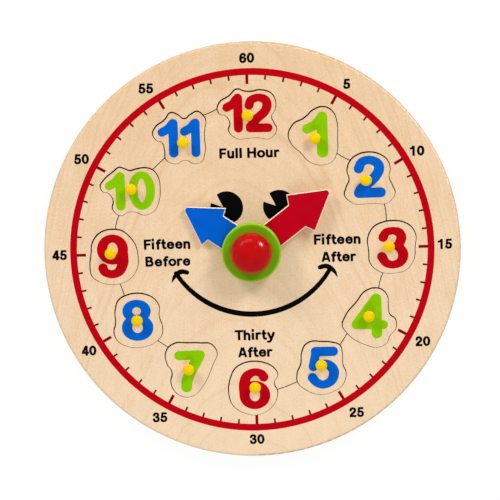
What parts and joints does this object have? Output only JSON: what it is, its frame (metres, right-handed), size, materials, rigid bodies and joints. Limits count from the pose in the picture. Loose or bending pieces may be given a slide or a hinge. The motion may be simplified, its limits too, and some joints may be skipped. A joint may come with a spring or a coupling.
{
  "type": "geared teaching clock",
  "caption": "Round wooden learning clock with lift-out number pieces on pegs and arrow hands that gears turn together.",
  "frame": {"origin": "centre of the flat back face, which lies on the table", "axes": "+Z straight out of the dial, +Y towards twelve, +X towards three"},
  "size_m": [0.3, 0.3, 0.046],
  "materials": {
    "plywood": "clear satin lacquer on pale plywood",
    "hand_red": "red painted plywood, satin",
    "hand_blue": "blue painted plywood, satin",
    "disc_green": "green painted wood, semi-gloss",
    "ball_red": "red painted wood, gloss",
    "peg_yellow": "yellow painted wood, semi-gloss",
    "gear_plastic": "natural white moulded plastic",
    "arbor_steel": "drawn steel rod",
    "screw_steel": "zinc plated steel",
    "bush_brass": "turned brass",
    "print_black": "black screen print on plywood",
    "print_red": "red screen print on plywood",
    "print_blue": "blue screen print on plywood",
    "print_green": "green screen print on plywood"
  },
  "bodies": {
    "board": {"face_panel": "plywood", "base_panel": "plywood", "back_cover": "plywood", "cover_screws": "screw_steel", "face_bush": "bush_brass", "idler_pin": "arbor_steel"},
    "minute_work": {"minute_arbor": "arbor_steel", "minute_pinion": "gear_plastic", "hand_spacer": "gear_plastic", "minute_hand": "hand_red", "collar_disc": "disc_green", "centre_knob": "ball_red"},
    "hour_work": {"hour_wheel": "gear_plastic", "hour_hand": "hand_blue"},
    "idler": {"idler_gear": "gear_plastic"},
    "piece_1": {"number_1": "plywood", "knob_1": "peg_yellow"},
    "piece_2": {"number_2": "plywood", "knob_2": "peg_yellow"},
    "piece_3": {"number_3": "plywood", "knob_3": "peg_yellow"},
    "piece_4": {"number_4": "plywood", "knob_4": "peg_yellow"},
    "piece_5": {"number_5": "plywood", "knob_5": "peg_yellow"},
    "piece_6": {"number_6": "plywood", "knob_6": "peg_yellow"},
    "piece_7": {"number_7": "plywood", "knob_7": "peg_yellow"},
    "piece_8": {"number_8": "plywood", "knob_8": "peg_yellow"},
    "piece_9": {"number_9": "plywood", "knob_9": "peg_yellow"},
    "piece_10": {"number_10": "plywood", "knob_10": "peg_yellow"},
    "piece_11": {"number_11": "plywood", "knob_11": "peg_yellow"},
    "piece_12": {"number_12": "plywood", "knob_12": "peg_yellow"}
  },
  "joints": [
    {"name": "minute_turn", "type": "hinge", "parent": "board", "child": "minute_work", "pos_m": [0, 0, 0.0115], "axis": [0, 0, 1], "continuous": true},
    {"name": "hour_turn", "type": "hinge", "parent": "board", "child": "hour_work", "pos_m": [0, 0, 0.0115], "axis": [0, 0, 1], "continuous": true},
    {"name": "idler_turn", "type": "hinge", "parent": "board", "child": "idler", "pos_m": [0, -0.03, 0.006], "axis": [0, 0, 1], "continuous": true},
    {"name": "lift_1", "type": "slide", "parent": "board", "child": "piece_1", "axis": [0, 0, 1], "range_m": [0, 0.03]},
    {"name": "lift_2", "type": "slide", "parent": "board", "child": "piece_2", "axis": [0, 0, 1], "range_m": [0, 0.03]},
    {"name": "lift_3", "type": "slide", "parent": "board", "child": "piece_3", "axis": [0, 0, 1], "range_m": [0, 0.03]},
    {"name": "lift_4", "type": "slide", "parent": "board", "child": "piece_4", "axis": [0, 0, 1], "range_m": [0, 0.03]},
    {"name": "lift_5", "type": "slide", "parent": "board", "child": "piece_5", "axis": [0, 0, 1], "range_m": [0, 0.03]},
    {"name": "lift_6", "type": "slide", "parent": "board", "child": "piece_6", "axis": [0, 0, 1], "range_m": [0, 0.03]},
    {"name": "lift_7", "type": "slide", "parent": "board", "child": "piece_7", "axis": [0, 0, 1], "range_m": [0, 0.03]},
    {"name": "lift_8", "type": "slide", "parent": "board", "child": "piece_8", "axis": [0, 0, 1], "range_m": [0, 0.03]},
    {"name": "lift_9", "type": "slide", "parent": "board", "child": "piece_9", "axis": [0, 0, 1], "range_m": [0, 0.03]},
    {"name": "lift_10", "type": "slide", "parent": "board", "child": "piece_10", "axis": [0, 0, 1], "range_m": [0, 0.03]},
    {"name": "lift_11", "type": "slide", "parent": "board", "child": "piece_11", "axis": [0, 0, 1], "range_m": [0, 0.03]},
    {"name": "lift_12", "type": "slide", "parent": "board", "child": "piece_12", "axis": [0, 0, 1], "range_m": [0, 0.03]}
  ],
  "couplings": [
    {"joint": "hour_turn", "follows": "minute_turn", "ratio": 0.083333},
    {"joint": "idler_turn", "follows": "minute_turn", "ratio": -0.33333}
  ]
}
